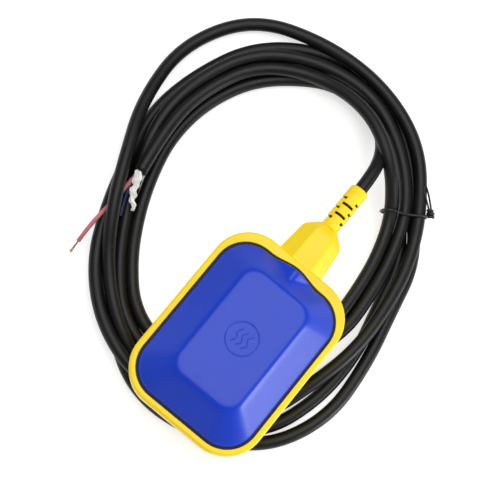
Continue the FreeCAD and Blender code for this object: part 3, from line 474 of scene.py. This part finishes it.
def make_filler():
    """White textile filler: fibres that follow one wandering line, each at its own place across it and
    swaying by sines whose size grows towards the loose tip; the bundle narrows by bell curves at its
    waist and tip, and crumples by one sine."""
    route = add_route("filler_route", mm_points(FILLER_MM))
    line, marks = evenly(route_line(route), 0.45 * MM)
    bpy.data.objects.remove(route)
    random = np.random.default_rng(11)
    share = marks / marks[-1]
    ahead = np.gradient(line, axis=0)
    ahead /= np.linalg.norm(ahead, axis=1)[:, None]
    side = np.cross(ahead, [0, 0, 1.0])
    side /= np.linalg.norm(side, axis=1)[:, None]
    up = np.cross(side, ahead)
    waist = (1.0 - 0.38 * np.exp(-((share - 0.42) / 0.07) ** 2)
             - 0.55 * np.exp(-((share - 1.0) / 0.16) ** 2))
    crumple = 0.5 * MM * np.sin(TAU * 4.2 * share + 0.6) * np.clip(4 * share, 0, 1)
    rise = np.sin(math.pi * np.clip(share * 1.25 + 0.12, 0, 1)) ** 0.6
    width = FILLER_HALF_WIDTH * waist * (0.55 + 0.45 * rise)
    tubes = []
    for _ in range(FIBRES):
        angle, place = random.uniform(0, TAU), math.sqrt(random.uniform(0, 1))
        sway = random.uniform(0.5, 1.9, 2)
        phase = random.uniform(0, TAU, 4)
        ripple = 0.34 * MM * (0.35 + share)
        spin = angle + 2.2 * share
        a = width * place * np.cos(spin) + ripple * np.sin(TAU * 2.3 * sway[0] * share + phase[0])
        b = width * place * np.sin(spin) + ripple * np.sin(TAU * 3.1 * sway[1] * share + phase[1])
        start = random.integers(0, len(line) // 3) if random.uniform() < 0.4 else 0
        stop = len(line) - int(random.uniform(0, 0.34) ** 1.3 * len(line))
        fibre = line + (a + crumple)[:, None] * side + (0.8 * b)[:, None] * up
        tubes.append((fibre[start:stop:2], random.uniform(0.13, 0.27) * MM, 6))
    return add_tubes("filler_fibres", tubes)


# ---------------------------------------------------------------- the wire tie
TIE_ANGLE = math.radians(320)
TIE_RADIUS = 0.74 * MM
# Points in millimetres: outward, height over the floor, aside.  The band goes round all the strands.
BAND_MM = [(70.2, 9.0, 2.6), (69.8, 14.0, 2.4), (71.3, 17.9, 1.7), (75.2, 18.6, 0.3), (79.6, 16.2, -1.5),
           (84.0, 15.2, -3.2), (90.5, 15.6, -5.0), (94.6, 14.2, -5.5), (95.6, 10.0, -5.4), (94.6, 5.0, -5.4),
           (92.6, 0.9, -5.0), (84.0, 0.8, -3.0), (77.6, 1.0, -1.0), (75.4, 5.0, 0.6), (71.4, 7.0, 2.2),
           (70.2, 9.0, 2.6)]
HAIRPIN_MM = [(96.6, 13.2, -5.0), (96.2, 13.6, 0.5), (95.9, 13.8, 6.5), (96.4, 14.0, 10.8),
              (97.3, 14.0, 11.9), (97.9, 13.6, 9.5), (98.1, 13.2, 4.5), (98.0, 12.6, -1.0),
              (97.6, 12.0, -4.6)]
KNOT_MM = (97.0, 12.4, -6.6)           # where the knot starts, in the same order
KNOT_LENGTH_MM, KNOT_TURNS = 4.4, 2.5


def tie_frame(radial, height, aside):
    """Points given outward, upward and aside of the tie's place on the coil."""
    out = np.array([math.cos(TIE_ANGLE), math.sin(TIE_ANGLE), 0])
    over = np.array([-math.sin(TIE_ANGLE), math.cos(TIE_ANGLE), 0])
    base = np.array([COIL_MIDDLE.x, COIL_MIDDLE.y, 0])
    radial, height, aside = np.broadcast_arrays(np.asarray(radial, float), height, aside)
    return base + radial[:, None] * out + aside[:, None] * over + height[:, None] * np.array([0, 0, 1.0])


def tie_line(name, rows):
    """Smooth line through the tie's frame with the rows as its controls."""
    rows = np.array(rows) * MM
    route = add_route(name, tie_frame(rows[:, 0], FLOOR_Z + rows[:, 1], rows[:, 2]))
    line = evenly(route_line(route), 0.5 * MM)[0]
    bpy.data.objects.remove(route)
    return line


def make_tie():
    """Wire round the bundle, its ends wound into a knot beside it as a tight helix that swells at its
    middle, and a long narrow hairpin along the bundle."""
    band, hairpin = tie_line("band_route", BAND_MM), tie_line("hairpin_route", HAIRPIN_MM)
    along = np.linspace(0, 1, 120)
    wind = TAU * KNOT_TURNS * along
    swell = 1.0 + 0.5 * np.sin(math.pi * along)
    outward, height, aside = KNOT_MM
    knot = tie_frame((outward + swell * np.cos(wind)) * MM, FLOOR_Z + (height + swell * np.sin(wind)) * MM,
                     (aside + KNOT_LENGTH_MM * along) * MM)
    return add_tubes("tie_wire", [(band, TIE_RADIUS, 8), (knot, 1.25 * TIE_RADIUS, 8),
                                  (hairpin, 0.75 * TIE_RADIUS, 8)])


# ---------------------------------------------------------------- materials
class Socket:
    """One output in a material, on which plain arithmetic adds Math nodes."""

    def __init__(self, finish, socket):
        self.finish = finish
        self.socket = socket

    def math(self, operation, *values):
        return self.finish.node("Math", {"operation": operation}, *values)

    def __add__(self, other):
        return self.math("ADD", self, other)

    def __radd__(self, other):
        return self.math("ADD", other, self)

    def __mul__(self, other):
        return self.math("MULTIPLY", self, other)

    def __rmul__(self, other):
        return self.math("MULTIPLY", other, self)


class Finish:
    """A material being made: a principled shader and the nodes that vary it over the surface."""

    def __init__(self, name, roughness, metallic=0.0, **constants):
        self.material = bpy.data.materials.new(name)
        self.material.use_nodes = True
        self.tree = self.material.node_tree
        self.tree.nodes.clear()
        self.shader = self.tree.nodes.new("ShaderNodeBsdfPrincipled")
        output = self.tree.nodes.new("ShaderNodeOutputMaterial")
        self.tree.links.new(self.shader.outputs["BSDF"], output.inputs["Surface"])
        self.shader.inputs["Roughness"].default_value = roughness
        self.shader.inputs["Metallic"].default_value = metallic
        for socket, value in constants.items():
            self.shader.inputs[socket.replace("_", " ")].default_value = value
        self.place = self.node("TexCoord", {}, out="Object")

    def node(self, kind, settings, *values, out=0, **named):
        """Adds a node of that kind: settings first, then values or links in order or by name."""
        made = self.tree.nodes.new("ShaderNode" + kind)
        for key, value in settings.items():
            setattr(made, key, value)
        sockets = list(zip(made.inputs, values))
        sockets += [(made.inputs[key.replace("_", " ")], value) for key, value in named.items()]
        for socket, value in sockets:
            if isinstance(value, Socket):
                self.tree.links.new(value.socket, socket)
            else:
                socket.default_value = value
        return Socket(self, made.outputs[out])

    def noise(self, scale, detail=3.0, place=None, roughness=0.5):
        """Cloudy value about one half; scale is cycles a metre."""
        return self.node("TexNoise", {}, Vector=place or self.place, Scale=scale, Detail=detail,
                         Roughness=roughness)

    def between(self, value, low, high):
        """Value mapped so that low gives nothing and high gives one, clamped."""
        return self.node("MapRange", {"clamp": True}, value, low, high, 0.0, 1.0)

    def mix(self, factor, first, second):
        """Colour between two colours."""
        made = self.tree.nodes.new("ShaderNodeMix")
        made.data_type = "RGBA"
        for socket, value in ((made.inputs[0], factor), (made.inputs[6], first), (made.inputs[7], second)):
            if isinstance(value, Socket):
                self.tree.links.new(value.socket, socket)
            else:
                socket.default_value = (*value, 1.0) if isinstance(value, tuple) else value
        return Socket(self, made.outputs[2])

    def feed(self, socket, value):
        """Links a varying value or colour to one of the shader's sockets."""
        self.tree.links.new(value.socket, self.shader.inputs[socket])

    def bump(self, height, distance, strength=1.0):
        """Raises the surface by a height value times a distance in metres."""
        normal = self.node("Bump", {}, Height=height, Distance=distance, Strength=strength, out="Normal")
        self.feed("Normal", normal)


def moulded_plastic(name, colour, shade, roughness, grain=0.02 * MM):
    """Injection-moulded plastic: faint flow marks in colour and gloss, and a very fine grain."""
    finish = Finish(name, roughness, Specular_IOR_Level=0.37)
    cloud = finish.between(finish.noise(28.0, 4.0), 0.3, 0.7)
    finish.feed("Base Color", finish.mix(cloud, colour, shade))
    smear = finish.noise(90.0, 5.0, roughness=0.65)
    finish.feed("Roughness", roughness - 0.06 + 0.12 * smear)
    finish.bump(finish.noise(2600.0, 3.0) + 6.0 * finish.noise(110.0, 2.0), grain, 0.35)
    return finish.material


def soft_rubber(name, colour, shade, roughness, grain=0.05 * MM):
    """Matte rubber: mottled shade, dusty gloss and a fine tooth."""
    finish = Finish(name, roughness, Specular_IOR_Level=0.4)
    dust = finish.between(finish.noise(160.0, 6.0, roughness=0.6), 0.45, 0.8)
    finish.feed("Base Color", finish.mix(dust, colour, shade))
    finish.feed("Roughness", roughness - 0.05 + 0.16 * finish.noise(420.0, 3.0))
    finish.bump(finish.noise(3800.0, 3.0), grain, 0.4)
    return finish.material


def cable_rubber(name):
    """Extruded sheath: fine lines along the cable, a faint dull bloom and small scuffs."""
    finish = Finish(name, 0.42, Specular_IOR_Level=0.28)
    own = finish.node("UVMap", {})
    lengthwise = finish.node("Mapping", {}, Vector=own, Scale=(18.0, 46.0, 1.0))
    lines = finish.noise(1.0, 3.0, place=lengthwise)
    bloom = finish.between(finish.noise(45.0, 5.0, roughness=0.6), 0.4, 0.75)
    scuff = finish.between(finish.noise(700.0, 2.0), 0.70, 0.78)
    dark = finish.mix(bloom, (0.0040, 0.0040, 0.0042), (0.0085, 0.0085, 0.0088))
    finish.feed("Base Color", finish.mix(scuff * 0.5, dark, (0.035, 0.035, 0.034)))
    finish.feed("Roughness", 0.34 + 0.10 * lines + 0.10 * bloom)
    finish.bump(lines + 0.4 * finish.noise(2400.0, 2.0), 0.05 * MM, 0.5)
    return finish.material


def metal(name, colour, roughness, brushed=0.0):
    """Metal with slight tarnish and, if brushed, fine lines along X."""
    finish = Finish(name, roughness, 1.0)
    tarnish = finish.between(finish.noise(300.0, 4.0), 0.35, 0.75)
    dull = tuple(0.72 * c for c in colour)
    finish.feed("Base Color", finish.mix(tarnish, colour, dull))
    drawn = finish.node("Mapping", {}, Vector=finish.place, Scale=(120.0, 4200.0, 4200.0))
    lines = finish.noise(1.0, 2.0, place=drawn)
    finish.feed("Roughness", roughness - 0.04 + 0.14 * lines)
    finish.bump(lines, 0.01 * MM, brushed)
    return finish.material


def textile(name):
    """Cotton-like filler: bright white with a soft sheen and a slightly darker, warmer white in cloudy
    patches.
    """
    finish = Finish(name, 0.85, Sheen_Weight=0.3)
    cloud = finish.between(finish.noise(900.0, 3.0), 0.3, 0.7)
    finish.feed("Base Color", finish.mix(cloud, (0.98, 0.98, 0.97), (0.90, 0.90, 0.88)))
    finish.bump(finish.noise(6000.0, 2.0), 0.05 * MM, 0.5)
    return finish.material


def make_materials():
    """Every finish, by the record's slot."""
    return {
        "blue_plastic": moulded_plastic("blue_plastic", (0.002, 0.043, 0.54), (0.002, 0.037, 0.50), 0.35),
        "yellow_plastic": moulded_plastic("yellow_plastic", (0.98, 0.74, 0.004), (0.96, 0.66, 0.003), 0.36),
        "yellow_rubber": soft_rubber("yellow_rubber", (0.98, 0.73, 0.006), (0.95, 0.64, 0.004), 0.46),
        # near black: the seal's own colour, which also paints the shadow line in the seam
        "seal_rubber": soft_rubber("seal_rubber", (0.010, 0.009, 0.012), (0.022, 0.020, 0.022), 0.6),
        "cable_rubber": cable_rubber("cable_rubber"),
        "tie_plastic": soft_rubber("tie_plastic", (0.008, 0.008, 0.008), (0.02, 0.02, 0.02), 0.35),
        "red_insulation": soft_rubber("red_insulation", (0.56, 0.14, 0.16), (0.62, 0.22, 0.23), 0.4),
        "blue_insulation": soft_rubber("blue_insulation", (0.004, 0.013, 0.062), (0.006, 0.020, 0.085), 0.4),
        "brown_insulation": soft_rubber("brown_insulation", (0.07, 0.022, 0.01), (0.10, 0.035, 0.02), 0.4),
        "copper": metal("copper", (0.80, 0.50, 0.36), 0.34, 0.1),
        "white_filler": textile("white_filler"),
        "grey_plastic": moulded_plastic("grey_plastic", (0.42, 0.44, 0.47), (0.36, 0.38, 0.41), 0.45),
        "black_plastic": moulded_plastic("black_plastic", (0.016, 0.016, 0.018), (0.024, 0.024, 0.026), 0.42),
        "ball_steel": metal("ball_steel", (0.78, 0.78, 0.80), 0.12),
        "spring_steel": metal("spring_steel", (0.66, 0.66, 0.69), 0.28, 0.3),
        "zinc_screw": metal("zinc_screw", (0.70, 0.71, 0.74), 0.32, 0.2),
        "plunger_plastic": moulded_plastic("plunger_plastic", (0.55, 0.03, 0.02), (0.48, 0.025, 0.02), 0.35),
        "terminal_brass": metal("terminal_brass", (0.83, 0.62, 0.28), 0.28, 0.3),
        "contact_silver": metal("contact_silver", (0.90, 0.90, 0.88), 0.2),
    }


def dress(piece, material):
    """Puts one material on a piece that has no slots of its own."""
    piece.data.materials.clear()
    piece.data.materials.append(material)


def dress_nodes(materials):
    """Gives every CAD node the finish of its slot."""
    for part in frame["record"]["subparts"]:
        node = NODES[part["node"]]
        for own in node.material_slots:
            own.link = "OBJECT"
            own.material = materials[part["material_slot"]]


# ---------------------------------------------------------------- floor and lights
def make_floor():
    """Wide pale floor under the coil."""
    half = 3.0
    points = np.array([[-half, -half, 0], [half, -half, 0], [half, half, 0], [-half, half, 0]])
    points[:, 2] = FLOOR_Z - 0.1 * MM
    floor = add_mesh("floor", points, [[0, 1, 2, 3]])
    finish = Finish("floor_white", 0.8, Specular_IOR_Level=0.1, Emission_Color=(1, 1, 1, 1),
                    Emission_Strength=0.60)
    finish.feed("Base Color", finish.mix(finish.noise(6.0), (0.66, 0.66, 0.66), (0.68, 0.68, 0.68)))
    dress(floor, finish.material)


def make_light(name, place, aim, size, power):
    """Square area light at a place, aimed at a point."""
    data = bpy.data.lights.new(name, "AREA")
    data.size = size
    data.energy = power
    light = bpy.data.objects.new(name, data)
    place, aim = Vector(place), Vector(aim)
    turn = (place - aim).to_track_quat("Z", "Y").to_matrix().to_4x4()
    light.matrix_world = Matrix.Translation(place) @ turn
    bpy.context.scene.collection.objects.link(light)


def make_studio():
    """Dim even surroundings, a bright low key from the float's right and a broad one overhead."""
    world = bpy.data.worlds.new("studio")
    world.use_nodes = True
    world.node_tree.nodes["Background"].inputs["Color"].default_value = (1, 1, 1, 1)
    world.node_tree.nodes["Background"].inputs["Strength"].default_value = 0.32
    bpy.context.scene.world = world
    middle = (COIL_MIDDLE.x, COIL_MIDDLE.y, 0)
    make_light("key", (0.05, -1.05, 0.13), middle, 0.36, 6.0)
    make_light("overhead", (0.22, 0.1, 1.1), middle, 1.15, 11.5)


# ---------------------------------------------------------------- the whole scene
bpy.context.scene.view_settings.view_transform = "Standard"
make_camera()
MATERIALS = make_materials()
dress_nodes(MATERIALS)

# the seal's near-black colour also paints the shadow line in the seam between the shells
cap, mark, seal_and_shadow = make_cap(), make_mark(), make_seal_and_shadow()
tub, boot = make_tub(), make_boot()
cable, cable_line = make_cable()
red_core = make_core("red_core", RED_MM)
blue_core = make_core("blue_core", BLUE_MM)
brown_core = make_core("brown_core", BROWN_MM)
copper_end = Vector(RED_MM[-1]) * MM
copper = make_copper(copper_end, (copper_end - Vector(RED_MM[-2]) * MM).normalized())
filler = make_filler()
tie = make_tie()

for piece, slot_name, replaced in (
        (cap, "blue_plastic", ("upper_shell",)),
        (mark, "blue_plastic", ()),
        (seal_and_shadow, "seal_rubber", ("seam_gasket",)),
        (tub, "yellow_plastic", ("lower_shell",)),
        (boot, "yellow_rubber", ("strain_relief_boot",)),
        (cable, "cable_rubber", ("cable_lead", "cable_coil")),
        (red_core, "red_insulation", ("free_core_red",)),
        (blue_core, "blue_insulation", ("free_core_blue",)),
        (brown_core, "brown_insulation", ("free_core_brown",)),
        (copper, "copper", ("bare_copper_end",)),
        (filler, "white_filler", ("filler_string",)),
        (tie, "tie_plastic", ("wire_tie",))):
    dress(piece, MATERIALS[slot_name])
    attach(piece, FLOAT)
    if replaced:
        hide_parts(*replaced)

make_floor()
make_studio()
